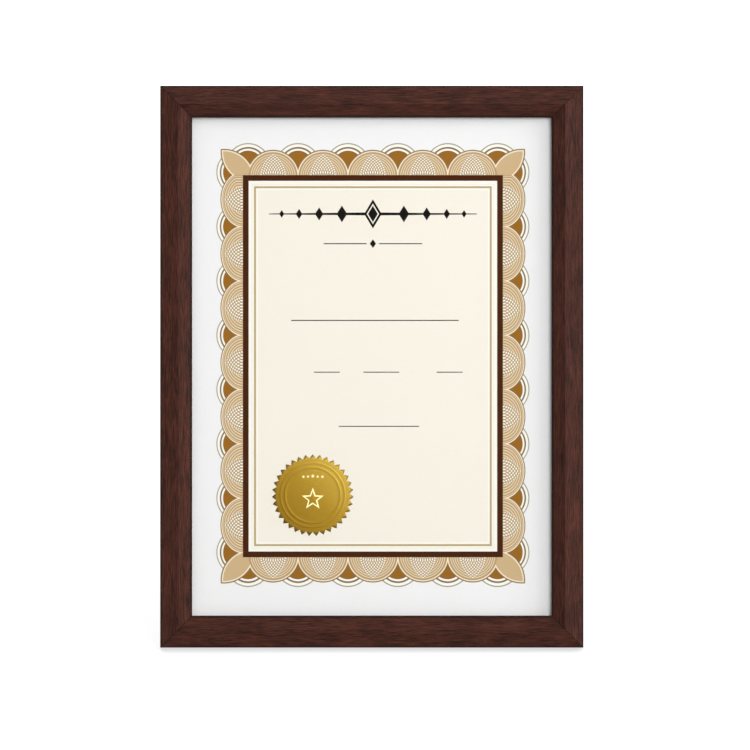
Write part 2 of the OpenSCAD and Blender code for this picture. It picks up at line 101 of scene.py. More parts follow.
# %% A socket that can be added, multiplied and divided
class Wire:
    """An output socket in the node tree that is being built."""

    tree = None

    def __init__(self, socket):
        self.socket = socket

    @classmethod
    def node(cls, kind, settings=None, **inputs):
        """Adds a node of that type: its settings are set first, then its sockets by name or place."""
        made = cls.tree.nodes.new(kind)
        for name, value in (settings or {}).items():
            if name == "stops":
                set_stops(made.color_ramp, value)
            else:
                setattr(made, name, value)
        for name, value in inputs.items():
            at = int(name[1:]) if name[0] == "_" else name.replace("_", " ")
            cls.join(value, made.inputs[at])
        return made

    @classmethod
    def join(cls, value, socket):
        """Links a wire or a node's output into a socket, or sets a plain value on it."""
        if isinstance(value, Wire):
            cls.tree.links.new(value.socket, socket)
        elif isinstance(value, bpy.types.NodeSocket):
            cls.tree.links.new(value, socket)
        else:
            socket.default_value = value

    @classmethod
    def maths(cls, operation, *values, **settings):
        """Adds a Math node and gives its result."""
        settings["operation"] = operation
        made = cls.node("ShaderNodeMath", settings)
        for value, socket in zip(values, made.inputs):
            cls.join(value, socket)
        return cls(made.outputs[0])

    def __add__(self, other):
        return Wire.maths("ADD", self, other)

    def __radd__(self, other):
        return Wire.maths("ADD", other, self)

    def __sub__(self, other):
        return Wire.maths("SUBTRACT", self, other)

    def __rsub__(self, other):
        return Wire.maths("SUBTRACT", other, self)

    def __mul__(self, other):
        return Wire.maths("MULTIPLY", self, other)

    def __rmul__(self, other):
        return Wire.maths("MULTIPLY", other, self)

    def __truediv__(self, other):
        return Wire.maths("DIVIDE", self, other)

    def __rtruediv__(self, other):
        return Wire.maths("DIVIDE", other, self)

    def __pow__(self, other):
        return Wire.maths("POWER", self, other)

    def __rpow__(self, other):
        return Wire.maths("POWER", other, self)

    def __abs__(self):
        return Wire.maths("ABSOLUTE", self)


def set_stops(ramp, stops):
    """Gives a colour ramp its stops, each (place, colour)."""
    while len(ramp.elements) < len(stops):
        ramp.elements.new(1.0)
    for element, (place, colour) in zip(ramp.elements, stops):
        element.position = place
        element.color = colour


print("a number may stand first in", [name for name in vars(Wire) if name.startswith("__r")])

# %% Masks, mixes and colours
def least(a, b):
    """The smaller of two numbers: where both masks are on."""
    return Wire.maths("MINIMUM", a, b)


def most(a, b):
    """The larger of two numbers: where either mask is on."""
    return Wire.maths("MAXIMUM", a, b)


def length(a, b):
    """The distance that two steps at right angles make."""
    return Wire.maths("SQRT", a * a + b * b)


def clamp(a):
    """The number, kept from 0 to 1."""
    return Wire.maths("ADD", a, 0.0, use_clamp=True)


def step(value, edge, soft):
    """0 where value is below edge and 1 above it, with an edge soft wide."""
    return clamp((value - edge) / soft + 0.5)


def mix(factor, a, b):
    """Colour a where factor is 0 and b where it is 1. A Mix node's colours are sockets 6 and 7."""
    return Wire(Wire.node("ShaderNodeMix", {"data_type": "RGBA"}, _0=factor, _6=a, _7=b).outputs[2])


def mix_value(factor, a, b):
    """Number a where factor is 0 and b where it is 1."""
    return a + (b - a) * factor


def rgb(code):
    """A colour written as in print, such as 4a2c26, as the linear values that a shader takes."""
    parts = [int(code[i:i + 2], 16) / 255 for i in (0, 2, 4)]
    return tuple(c / 12.92 if c <= 0.04045 else ((c + 0.055) / 1.055) ** 2.4 for c in parts) + (1,)


WHITE, BLACK = (1, 1, 1, 1), (0, 0, 0, 1)
print("a printed 4a2c26 is", short(rgb("4a2c26"), 3), "to a shader")

# %% [markdown]
# ## Making a material
#
# Every finish below starts from the same shader, so one function makes the material, points `Wire`
# at its tree and fills in the sockets that are the same all over. What varies is linked afterwards
# by the finish's own function. Patterns are placed in millimetres on the face, so that a number in
# them can be checked against the real thing with a ruler.

# %% One way to start every material
def new_material(name, **fixed):
    """A material with one Principled shader, whose sockets in fixed are plain values."""
    material = bpy.data.materials.new(name)
    material.use_nodes = True
    Wire.tree = material.node_tree
    shader = Wire.tree.nodes["Principled BSDF"]
    for socket, value in fixed.items():
        shader.inputs[socket.replace("_", " ")].default_value = value
    return material, shader


def feed(shader, **links):
    """Links what varies into the shader's sockets."""
    for socket, wire in links.items():
        Wire.join(wire, shader.inputs[socket.replace("_", " ")])


def dress(node, material):
    """Gives a CAD solid its material in every slot."""
    mesh = solids[node].data
    mesh.materials.clear()
    mesh.materials.append(material)


print("solids to dress:", ", ".join(sorted(solids)))

# %% A place on the face, and patterns there
def reach_along(at, way):
    """How far a vector reaches along a fixed way: their dot product."""
    made = Wire.node("ShaderNodeVectorMath", {"operation": "DOT_PRODUCT"}, _0=at, _1=tuple(way))
    return Wire(made.outputs["Value"])


def place_on_face():
    """Across, up and out on the face, in mm from the middle of the sheet, as three wires."""
    at = Wire.node("ShaderNodeTexCoord").outputs["Object"]
    moved = Wire.node("ShaderNodeVectorMath", {"operation": "SUBTRACT"}, _0=at, _1=tuple(sheet_middle))
    return [reach_along(moved.outputs[0], axis / MM) for axis in (right, up, out)]


def vector(x, y, z):
    """Three numbers as one place."""
    return Wire(Wire.node("ShaderNodeCombineXYZ", X=x, Y=y, Z=z).outputs[0])


def noise(at, scale, detail=3.0, roughness=0.5):
    """Cloudy noise from 0 to 1 that changes about scale times in each unit of at."""
    made = Wire.node("ShaderNodeTexNoise", Vector=at, Scale=scale, Detail=detail, Roughness=roughness)
    return Wire(made.outputs["Fac"])


def ramp(value, stops):
    """A colour ramp over value, with its stops as (place, colour)."""
    return Wire(Wire.node("ShaderNodeValToRGB", {"stops": stops}, Fac=value).outputs["Color"])


def bump(height, strength, distance):
    """A Bump node's normal, for a height that stands distance metres tall at 1."""
    made = Wire.node("ShaderNodeBump", Height=height, Strength=strength, Distance=distance)
    return Wire(made.outputs["Normal"])


print("patterns are placed by", short(right, 2), short(up, 2), short(out, 2))

# %% [markdown]
# ## The mouldings
#
# The real ones are a light softwood or composite, machined to the profile, then stained a dark
# red-brown and sealed with a satin lacquer. The grain runs along each length, so it turns by 90
# degrees at every mitre: that turn is what makes the corners read as joints. One material with
# world-aligned grain would lose it, so each pair of rails gets its own, made by the same function
# with the two axes swapped. Fibres and pores are stretched noise, broad patches of colour are
# slower noise, and the stain is darker in the mitres. Painted shade darkens the outer arris and
# the strip beside the glass.

# %% The stain in the mitres, and painted shade at the arris and beside the glass
GRAIN_DARK = rgb("26120d")
GRAIN_MID = rgb("41231a")
GRAIN_RED = rgb("593026")
PORE_AND_PAINTED_SHADE = rgb("1b0c08")
HALF_FACE = (116.0, 154.0)
FACE_WIDE = 17.5
ARRIS_OUT = 7.8
EDGE_LINE, SIGHT_LINE, MITRE_LINE = 0.7, 1.2, 0.3
# How dark the painted shade is at the arris and beside the glass, and the stain in the mitres.
ARRIS_PAINTED_SHADE, GLASS_EDGE_PAINTED_SHADE, MITRE_DARK = 0.85, 0.75, 0.8


def painted_shade_and_mitre_stain(across, along, outward):
    """How much dark to mix in: painted shade on the outer arris and beside the glass, stain in the
    mitres.
    """
    from_side, from_end = HALF_FACE[0] - abs(across), HALF_FACE[1] - abs(along)
    from_edge = least(from_side, from_end)
    near_front = step(outward, ARRIS_OUT - EDGE_LINE, EDGE_LINE)
    arris_painted_shade = (1 - step(from_edge, EDGE_LINE, EDGE_LINE)) * near_front
    glass_edge_painted_shade = step(from_edge, FACE_WIDE - SIGHT_LINE, EDGE_LINE)
    mitre_line = 1 - step(abs(from_side - from_end), MITRE_LINE, MITRE_LINE)
    return most(most(arris_painted_shade * ARRIS_PAINTED_SHADE, glass_edge_painted_shade * GLASS_EDGE_PAINTED_SHADE), mitre_line * MITRE_DARK)


# Painted shade lies within these widths of the arris and of the glass.
print("stain gathers within", EDGE_LINE, "mm of the arris and", SIGHT_LINE, "mm of the glass")

# %% Stained wood with grain along the rail
FIBRES = dict(along=0.12, across=2.2, detail=4.0, roughness=0.65)
PORES = dict(along=0.3, across=4.5, detail=2.0, roughness=0.7)
PATCHES = dict(along=0.05, across=0.2, detail=3.0, roughness=0.6)
WANDER_ALONG, WANDER_ACROSS, WANDER_MOST = 0.03, 0.06, 3.0
FIBRES_SHOW, PATCHES_SHOW, PORES_SHOW = 2.3, 0.8, 0.5
PORE_AT, PORE_SOFT = 0.6, 0.12
SATIN = 0.48


def streaks(grain, shift, seed, along, across, detail, roughness):
    """Noise stretched along the grain: along and across are how often it changes in a mm."""
    run, cross, height = grain
    at = vector(run * along, cross * across + shift, height * across + seed)
    return noise(at, 1.0, detail, roughness)


def stained_wood(name, along, seed):
    """Dark stained moulding. along is 0 for grain across the face and 1 for grain up it."""
    material, shader = new_material(name, Specular_IOR_Level=0.09)
    place = place_on_face()
    grain = place[along], place[1 - along], place[2]
    slow = vector(grain[0] * WANDER_ALONG, grain[1] * WANDER_ACROSS, seed)
    wander = noise(slow, 1.0, detail=2.0) * WANDER_MOST
    fibres = streaks(grain, wander, seed, **FIBRES)
    pores = step(streaks(grain, wander, seed, **PORES), PORE_AT, PORE_SOFT)
    patches = streaks(grain, 0.0, seed * 2, **PATCHES)
    tone = clamp((fibres - 0.5) * FIBRES_SHOW + (patches - 0.5) * PATCHES_SHOW + 0.5)
    colour = ramp(tone, [(0.15, GRAIN_DARK), (0.5, GRAIN_MID), (0.88, GRAIN_RED)])
    colour = mix(pores * PORES_SHOW, colour, PORE_AND_PAINTED_SHADE)
    # Painted shade on the outer arris and beside the glass, and dark stain in the mitres.
    colour = mix(painted_shade_and_mitre_stain(*place), colour, PORE_AND_PAINTED_SHADE)
    feed(shader, Base_Color=colour, Roughness=SATIN + (fibres - 0.5) * 0.3 + pores * 0.12,
         Normal=bump(fibres * 0.6 - pores * 0.5, 0.3, 0.12 * MM))
    return material


wood_across = stained_wood("stained_wood_across", along=0, seed=3.1)
wood_upright = stained_wood("stained_wood_upright", along=1, seed=8.7)
for rail in ("rail_top", "rail_bottom"):
    dress(rail, wood_across)
for rail in ("rail_left", "rail_right"):
    dress(rail, wood_upright)
print("mouldings stained:", wood_across.name, wood_upright.name)

# %% [markdown]
# ## The pane
#
# Picture glass is float glass, 2 mm thick. Seen square on it lets nearly everything through, and
# at a slant it mirrors the room. The share that is mirrored follows the fifth power of how far the
# glass is turned away. Layer Weight gives that turn alike from both sides of the pane; a Fresnel
# node would make its inside a full mirror at a slant. A Mix Shader uses the share between a
# Transparent shader, which lets the lamps' light through to the sheet, and a Glossy one.

# %% Clear glass
GLASS_CLEAR = (0.983, 0.984, 0.983, 1)
GLASS_ROUGHNESS = 0.02
MIRROR_AT_GRAZING, MIRROR_POWER = 0.8, 5.0


def picture_glass():
    """Clear glass that mirrors more the more it is turned away."""
    material, principled = new_material("picture_glass")
    nodes = Wire.tree.nodes
    nodes.remove(principled)
    clear = Wire.node("ShaderNodeBsdfTransparent", Color=GLASS_CLEAR)
    gloss = Wire.node("ShaderNodeBsdfGlossy", Color=WHITE, Roughness=GLASS_ROUGHNESS)
    turned = Wire(Wire.node("ShaderNodeLayerWeight", Blend=0.5).outputs["Facing"])
    mirrored = clamp(turned ** MIRROR_POWER * MIRROR_AT_GRAZING)
    both = Wire.node("ShaderNodeMixShader", _0=mirrored, _1=clear.outputs[0], _2=gloss.outputs[0])
    Wire.join(both.outputs[0], nodes["Material Output"].inputs["Surface"])
    return material


dress("glass", picture_glass())
print("pane glazed, mirrors", MIRROR_AT_GRAZING, "of the light at grazing")

# %% [markdown]
# ## The print on the sheet
#
# The sheet is white stock with a cream panel, a dark frame line and a traditional lace border:
# rows of half rosettes, arcs that fill the gaps between them and a leaf in each corner. It is
# drawn as maths, not as a picture, so it stays sharp at any size. All four quarters are alike, so
# the place is folded by absolute values into one quarter first. A row then needs one rosette: the
# distance to the nearest centre is found by rounding, and bands of that distance get their inks.
# The panel has ruled lines to write on and a plain ornamental rule at its head.

# %% Inks, and bands of ink by distance
PAPER = rgb("f7f7f7")
PANEL = rgb("f9f3e6")
CREAM = rgb("fffdf3")
PALE = rgb("fbe8cb")
TAN = rgb("eed9b8")
FLESH = rgb("d3b68b")
RING = rgb("b5976a")
OUTLINE = rgb("856d4a")
ARC_LINE = rgb("aa9d8e")
OCHRE = rgb("9e6a24")
OCHRE_DARK = rgb("73490f")
PIN = rgb("bea97e")
NET_DARK = rgb("b3966b")
NET_LIGHT = rgb("fffaec")
LINE_BROWN = rgb("48240e")
INK = rgb("141210")
EDGE_SOFT = 0.1


def edge(depth):
    """0 outside a printed shape and 1 inside it, from its depth in mm inside the edge."""
    return step(depth, 0.0, 2 * EDGE_SOFT)


def bands(distance, reach, *inks):
    """Ink by distance in mm: each is (upto, colour), and the last goes on for good."""
    stops = []
    for (upto, colour), (_, following) in zip(inks, inks[1:]):
        stops += [((upto - EDGE_SOFT) / reach, colour), ((upto + EDGE_SOFT) / reach, following)]
    return ramp(distance / reach, stops)


print("inks mixed, soft edge", 2 * EDGE_SOFT, "mm")

# %% [markdown]
# ### The lace border
#
# Borders like this are engraved as rings that cross, almost too fine to count. The rosettes on the
# long sides are wider and flatter than those at the ends, so each row has its own pitch, radius and
# squash, and one function draws either. The net is made of two sets of rings round two centres,
# multiplied: a pale dot is left where both are pale. Its pitch is multiplied by the squash, so that
# the flattening doesn't make the rings too fine for the picture.

# %% Rows of rosettes, and the arcs between them
SIDE_ROW = dict(pitch=29.78, last=3, radius=16.07, squash=1.265, middle=-0.39)
END_ROW = dict(pitch=27.37, last=2, radius=14.7, squash=1.0, middle=-0.83)
SIDE_ROW_UP = 2.1
SIDE_ARCS = dict(SIDE_ROW, radius=13.05, middle=1.53, tight=1.15)
TOP_ARCS = dict(END_ROW, radius=12.2, middle=5.4, tight=1.02)
BOTTOM_ARCS = dict(END_ROW, radius=12.45, middle=3.94, tight=0.99)
ARC_EDGE, ARC_REACH = 12.8, 16.0
ARC_INKS = [(8.2, OCHRE), (8.5, OCHRE_DARK), (9.65, CREAM), (10.6, OUTLINE), (12.1, CREAM),
            (ARC_EDGE, ARC_LINE), (ARC_REACH, PAPER)]
SHARP_CUT = 40


def arcs(under, run, rise, row):
    """Arcs round each notch of a row, over the colour under. run is along the row, rise out of it."""
    gap = least(Wire.maths("FLOOR", run / row["pitch"]), float(row["last"])) + 0.5
    away = length(run - gap * row["pitch"], rise - row["middle"])
    away = ARC_EDGE - (row["radius"] - away) * row["tight"]
    return mix(edge(ARC_EDGE - away), under, bands(away, ARC_REACH, *ARC_INKS))


def in_rosette(run, rise, row):
    """Millimetres inside the nearest half oval of a row, and the place from its middle."""
    nearest = least(Wire.maths("FLOOR", run / row["pitch"] + 0.5), float(row["last"]))
    across, upward = run - nearest * row["pitch"], (rise - row["middle"]) * row["squash"]
    return least(row["radius"] - length(across, upward), rise * SHARP_CUT), across, upward


print("rosettes:", 2 * SIDE_ROW["last"] + 1, "on a side,", 2 * END_ROW["last"] + 1, "on an end")

# %% The net inside a rosette
OUTLINE_WIDE, RIM_WIDE, RING_WIDE = 0.62, 1.35, 0.4
RING_PITCH = 1.15
NET_OFFSET, NET_REACH, NET_PITCH = 7.4, 14.7, 1.25
NET_CONTRAST, NET_FADE = 2.2, 1.2


def wave(value, pitch):
    """A wave from 0 to 1 and back, once in each pitch."""
    return Wire.maths("SINE", value * (2 * pi / pitch)) * 0.5 + 0.5


def weave(under, depth, across, upward, squash):
    """Fine rings inside a rosette's rim, with a pointed arch of crossing net over its middle."""
    from_left, from_right = length(across + NET_OFFSET, upward), length(across - NET_OFFSET, upward)
    crossing = wave(from_left, NET_PITCH * squash) * wave(from_right, NET_PITCH * squash)
    net = mix(clamp(crossing * NET_CONTRAST), NET_DARK, NET_LIGHT)
    in_net = step(NET_REACH - most(from_left, from_right), 0.0, NET_FADE)
    rings = mix(wave(depth, RING_PITCH * squash), RING, TAN)
    ink = mix(edge(depth - (RIM_WIDE + RING_WIDE)), RING, mix(in_net, rings, net))
    return mix(edge(depth - RIM_WIDE), under, ink)


print("net of", NET_PITCH, "mm and rings of", RING_PITCH, "mm")

# %% Corner leaf, frame line and panel
FRAME_LINE = (71.3, 104.8)
LEAF_TIP = (83.4, 119.1)
LEAF_RADIUS, LEAF_BACK = 17.2, (-1.7, -17.1)
RIM_INKS = [(OUTLINE_WIDE, OUTLINE), (RIM_WIDE, PALE), (4.0, FLESH)]
PANEL_INKS = [(3.15, LINE_BROWN), (4.7, CREAM), (5.4, PANEL), (6.1, CREAM), (7.2, PIN), (8.2, CREAM),
              (12.0, PANEL)]


def in_leaf(across, along):
    """Millimetres inside the leaf at the corner: two discs cross, each the other's mirror image."""
    one = length(across - (LEAF_TIP[0] + LEAF_BACK[0]), along - (LEAF_TIP[1] + LEAF_BACK[1]))
    two = length(across - (LEAF_TIP[0] + LEAF_BACK[1]), along - (LEAF_TIP[1] + LEAF_BACK[0]))
    return LEAF_RADIUS - most(one, two)


def border(under, quarter, side_run, above, beside):
    """Leaf and rosettes with one pale rim round them all, then what fills each rosette."""
    end_depth, *end_place = in_rosette(quarter[0], above, END_ROW)
    side_depth, *side_place = in_rosette(side_run, beside, SIDE_ROW)
    depth = most(in_leaf(*quarter), most(end_depth, side_depth))
    ink = mix(edge(depth), under, bands(depth, RIM_INKS[-1][0], *RIM_INKS))
    ink = weave(ink, end_depth, *end_place, END_ROW["squash"])
    return weave(ink, least(side_depth, RIM_WIDE - above), *side_place, SIDE_ROW["squash"])


def panel(under, across, along):
    """The dark frame line with all that lies inside it."""
    depth = most(across - FRAME_LINE[0], along - FRAME_LINE[1]) * -1.0
    return mix(edge(depth), under, bands(depth, PANEL_INKS[-1][0], *PANEL_INKS))


print("panel", 2 * FRAME_LINE[0], "by", 2 * FRAME_LINE[1], "mm, with", len(PANEL_INKS), "bands of ink")

# %% [markdown]
# ### Rules and lozenges
#
# The lines to write on are thin bars. How far a point is inside a bar is the smaller of two
# distances, along it and across it, so its ends come out square. A lozenge adds up the two shares
# instead, which gives its slanted sides. The larger of all these distances joins the shapes, and
# one soft edge then serves them all.

# %% Ruled lines and the ornamental rules at the head
# Each ruled line is (from, to, height, thickness), each lozenge (place, half its width, half its
# height), in millimetres.
RULES = [(-44.8, 47.0, 25.1, 0.55), (-32.3, -18.2, -3.3, 0.5), (-5.2, 14.4, -3.3, 0.5),
         (35.0, 49.2, -3.3, 0.5), (-18.7, 25.3, -33.0, 0.5)]
HEAD_UP, HEAD_REACH, HEAD_THICK, HEAD_TAPER = 83.5, 57.0, 0.85, 0.011
LOZENGES = [(0.0, 4.8, 8.0), (17.0, 2.9, 4.6), (29.5, 2.3, 3.6), (40.5, 1.8, 2.8), (50.0, 1.4, 2.1)]
LOZENGE_SLANT = 0.85
INLAY_IN, INLAY_THICK = 1.5, 0.3
LOW_UP, LOW_REACH, LOW_GAP, LOW_THICK = 67.2, 27.0, 3.4, 0.28
LOW_LOZENGE = (0.0, 1.7, 2.4)


def ruled(across, along):
    """1 on the ruled lines."""
    on = None
    for start, end, height, thick in RULES:
        in_length = (end - start) / 2 - abs(across - (start + end) / 2)
        inside = least(in_length, thick / 2 - abs(along - height))
        on = inside if on is None else most(on, inside)
    return edge(on)


def lozenge(side, height, place, half_wide, half_tall):
    """Millimetres inside the edge of a lozenge at that place along a rule."""
    inside = 1 - abs(side - place) / half_wide - height / half_tall
    return inside * (half_wide * LOZENGE_SLANT)


def head_ornament(across, along):
    """1 on a rule that thins outwards with lozenges along it, and on a lighter rule below."""
    side, height, low = abs(across), abs(along - HEAD_UP), abs(along - LOW_UP)
    on = least(HEAD_THICK - side * HEAD_TAPER - height, HEAD_REACH - side)
    for size in LOZENGES:
        on = most(on, lozenge(side, height, *size))
    inlay = abs(lozenge(side, height, *LOZENGES[0]) - INLAY_IN) - INLAY_THICK
    low_rule = least(LOW_THICK - low, least(LOW_REACH - side, side - LOW_GAP))
    on = most(least(on, inlay), low_rule)
    return edge(most(on, lozenge(side, low, *LOW_LOZENGE)))


print(len(RULES), "ruled lines,", 2 * len(LOZENGES) - 1, "lozenges at the head")

# %% All of the print
ARCS_CHANGE = 1.0


def printed(across, along):
    """The whole print at a place in mm from its own middle."""
    quarter = abs(across), abs(along)
    side_run = abs(along - SIDE_ROW_UP)
    above, beside = quarter[1] - FRAME_LINE[1], quarter[0] - FRAME_LINE[0]
    past_corner = step(quarter[1] - quarter[0], LEAF_TIP[1] - LEAF_TIP[0], 2 * EDGE_SOFT)
    end_arcs = mix(step(along, 0.0, ARCS_CHANGE), arcs(PAPER, quarter[0], above, BOTTOM_ARCS),
                   arcs(PAPER, quarter[0], above, TOP_ARCS))
    ink = mix(past_corner, arcs(PAPER, side_run, beside, SIDE_ARCS), end_arcs)
    ink = border(ink, quarter, side_run, above, beside)
    ink = panel(ink, *quarter)
    return mix(most(ruled(across, along), head_ornament(across, along)), ink, INK)


print("print reaches", LEAF_TIP[0], "mm across and", LEAF_TIP[1], "mm up from its middle")

# %% [markdown]
# ## The sheet and its map
#
# A print with fine lines needs its picture points where the eye looks. The sheet is made as a mesh
# of its own here, the same size as the solid that it replaces, so that its map can be laid out:
# the front fills the square, and the back and the edges share the narrow strip left over.

# %% Pieces made on the face
def to_world(across, along, outward):
    """A place in the world from millimetres across, up and out from the middle of the sheet."""
    return sheet_middle + right * (across * MM) + up * (along * MM) + out * (outward * MM)


def to_face(point):
    """Millimetres across, up and out from the middle of the sheet, from a place in the world."""
    away = Vector(point) - sheet_middle
    return Vector((away.dot(right), away.dot(up), away.dot(out))) / MM


def new_piece(name, points, faces, material, body, stands_for):
    """A mesh in the frame's own place, given points in millimetres on the face."""
    mesh = bpy.data.meshes.new(name)
    mesh.from_pydata([to_world(*point) for point in points], [], faces)
    mesh.validate()
    mesh.materials.append(material)
    piece = bpy.data.objects.new(name, mesh)
    bpy.context.scene.collection.objects.link(piece)
    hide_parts(stands_for)
    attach(piece, body)
    return piece


def lay_map(piece, spot_of):
    """Writes the piece's map: spot_of takes a face and a corner's point and gives its place."""
    layer = piece.data.uv_layers.new(name="OFBake")
    for face in piece.data.polygons:
        for loop in face.loop_indices:
            point = piece.data.vertices[piece.data.loops[loop].vertex_index].co
            layer.data[loop].uv = spot_of(face, to_face(piece.matrix_world @ point))


print("a corner of the opening is at", short(to_world(98.5, 136.5, 0)))

# %% Printed paper
STOCK_SHADE = rgb("f1f1ef")
PRINT_SHIFT = (0.6, 0.26)
FIBRES_PER_MM, CLOUDS_PER_MM = 0.9, 0.03


def printed_paper():
    """White stock with faint fibres and clouds, printed on its front."""
    material, shader = new_material("printed_paper", Specular_IOR_Level=0.05, Roughness=0.6)
    across, along, outward = place_on_face()
    front = step(outward, 0.0, 0.02)
    fibre = noise(vector(across, along, outward), FIBRES_PER_MM, detail=4.0, roughness=0.7)
    cloud = noise(vector(across, along, outward), CLOUDS_PER_MM, detail=2.0)
    stock = mix(clamp((cloud - 0.35) * 1.5 + (fibre - 0.5) * 0.5), STOCK_SHADE, PAPER)
    print_on = printed(across - PRINT_SHIFT[0], along - PRINT_SHIFT[1])
    shade = clamp(0.985 + (fibre - 0.5) * 0.05)
    ink = Wire.node("ShaderNodeVectorMath", {"operation": "SCALE"}, _0=print_on, Scale=shade)
    feed(shader, Base_Color=mix(front, stock, Wire(ink.outputs[0])),
         Normal=bump(fibre, 0.06, 0.05 * MM))
    return material


paper = printed_paper()
print("paper printed with", len(paper.node_tree.nodes), "nodes")

# %% The sheet's mesh
SHEET_THICK = 0.2
HALF_SHEET = (105.0, 148.5)
SHEET_CELLS = (14, 20)


def sheet_mesh():
    """Two grids a sheet's thickness apart, joined round the edge."""
    wide, tall = SHEET_CELLS
    row = wide + 1
    layer = row * (tall + 1)
    points, faces = [], []
    for side in (0.5, -0.5):
        for j in range(tall + 1):
            for i in range(row):
                points.append((HALF_SHEET[0] * (2 * i / wide - 1), HALF_SHEET[1] * (2 * j / tall - 1),
                               side * SHEET_THICK))
    for j in range(tall):
        for i in range(wide):
            a = j * row + i
            front = (a, a + 1, a + row + 1, a + row)
            faces += [front, tuple(layer + corner for corner in reversed(front))]
    rim = list(range(row)) + [j * row + wide for j in range(1, tall + 1)]
    rim += [tall * row + i for i in range(wide - 1, -1, -1)]
    rim += [j * row for j in range(tall - 1, 0, -1)]
    for a, b in zip(rim, rim[1:] + rim[:1]):
        faces.append((b, a, a + layer, b + layer))
    return points, faces


points, faces = sheet_mesh()
sheet = new_piece("printed_sheet", points, faces, paper, "frame", "certificate_sheet")
print("sheet cut:", len(points), "points,", len(faces), "faces")

# %% The sheet's map
MAP_MARGIN = 0.002
FRONT_SHARE = 0.707
BACK_AT, BACK_SHARE = 0.74, 0.2
RIGHT_EDGE_AT, LEFT_EDGE_AT, TOP_EDGE_AT = 0.952, 0.97, 0.99
EDGE_SHARE, END_EDGE_SHARE = 0.012, 0.0012


def sheet_spot(face, at):
    """Front over the left of the square at full height, back and edges in the strip beside it."""
    along = MAP_MARGIN + (at.y / HALF_SHEET[1] + 1) / 2 * (1 - 2 * MAP_MARGIN)
    across = (at.x / HALF_SHEET[0] + 1) / 2
    through = at.z / SHEET_THICK + 0.5
    facing = face.normal.dot(out)
    if facing > 0.5:
        return (MAP_MARGIN + across * FRONT_SHARE, along)
    if facing < -0.5:
        return (BACK_AT + across * BACK_SHARE, along)
    if abs(face.normal.x) > 0.5:
        return ((RIGHT_EDGE_AT if face.normal.x > 0 else LEFT_EDGE_AT) + EDGE_SHARE * through, along)
    end = TOP_EDGE_AT if face.normal.dot(up) > 0 else 0.0
    return (BACK_AT + across * BACK_SHARE, end + END_EDGE_SHARE * through)


lay_map(sheet, sheet_spot)
print("sheet mapped, its front over", FRONT_SHARE, "of the square")

# %% [markdown]
# ## The foil seal
#
# A document seal is thin gold foil on a sticky back, die-cut with saw teeth and pressed between two
# dies. The pressing is what catches the light, so it is modelled: a fan of rings and spokes fine
# enough to hold a double ring, a star and a row of small ones, with the height of each point
# worked out by one function. The same function says where the matt, pale part of the design is,
# and that goes into the mesh as an attribute which the material reads.

# %% A star, and a soft rise
WAIST = 0.42


def in_star(x, y, reach):
    """Millimetres inside the edge of a five-pointed star, less than 0 outside it."""
    away, turn = sqrt(x * x + y * y), atan2(x, y)
    turn = abs((turn + pi / 5) % (2 * pi / 5) - pi / 5)
    waist = reach * WAIST
    tip, dip = Vector((reach, 0)), Vector((waist * cos(pi / 5), waist * sin(pi / 5)))
    side = (dip - tip).normalized()
    here = Vector((away * cos(turn), away * sin(turn))) - tip
    return side.x * here.y - side.y * here.x


def smooth(value, soft):
    """0 below -soft, 1 above soft, with a smooth rise between."""
    t = min(1.0, max(0.0, value / (2 * soft) + 0.5))
    return t * t * (3 - 2 * t)


print("a star of 6 mm is", round(in_star(0, 0, 6.0), 2), "mm deep at its middle")

# %% The pressed design
SEAL_AT = (-32.4, -70.5)
SEAL_TIP, SEAL_TEETH, TOOTH_DEEP = 22.4, 35, 2.3
SEAL_BACK, SEAL_FRONT = 0.1, 0.25
SEAL_RINGS, RING_HALF, RING_TALL = (17.6, 15.2), 0.35, 0.09
MEDAL_IN, MEDAL_DEEP = 0.9, 0.03
BIG_STAR = (0.0, -2.2, 6.2)
BIG_STAR_TALL, BIG_STAR_RISE, BIG_STAR_CROWN = 0.06, 0.05, 0.1
STAR_LINE_IN, STAR_LINE_HALF = 0.3, 0.28
SMALL_STARS = [(-5.1, 10.1, 0.7), (-2.6, 10.2, 0.6), (0.0, 10.4, 0.9), (2.7, 10.2, 0.6),
               (5.3, 10.1, 0.7)]
SMALL_STAR_TALL = 0.05


def pressing(x, y):
    """Height in mm above the flat foil, and how much of the pale design is here."""
    away = sqrt(x * x + y * y)
    height = sum(smooth(RING_HALF - abs(away - ring), 0.3) for ring in SEAL_RINGS) * RING_TALL
    height -= smooth(SEAL_RINGS[1] - MEDAL_IN - away, 0.4) * MEDAL_DEEP
    star = in_star(x - BIG_STAR[0], y - BIG_STAR[1], BIG_STAR[2])
    pale = smooth(STAR_LINE_HALF - abs(star - STAR_LINE_IN), 0.16)
    height += smooth(star, 0.25) * BIG_STAR_TALL
    height += min(BIG_STAR_CROWN, max(0.0, star * BIG_STAR_RISE))
    for across, along, reach in SMALL_STARS:
        small = in_star(x - across, y - along, reach)
        pale = max(pale, smooth(small + 0.05, 0.16))
        height += smooth(small, 0.2) * SMALL_STAR_TALL
    return height, pale


print("height and paleness on a ring", short(pressing(SEAL_RINGS[0], 0)))
print("height and paleness in the star", short(pressing(0, 0)))

# %% The seal's mesh
SPOKES = SEAL_TEETH * 10
SEAL_STEP = 0.3
SEAL_ROUNDS = int((SEAL_TIP - TOOTH_DEEP) / SEAL_STEP)
TIP_OUT, EDGE_DROP = 0.05, 0.06


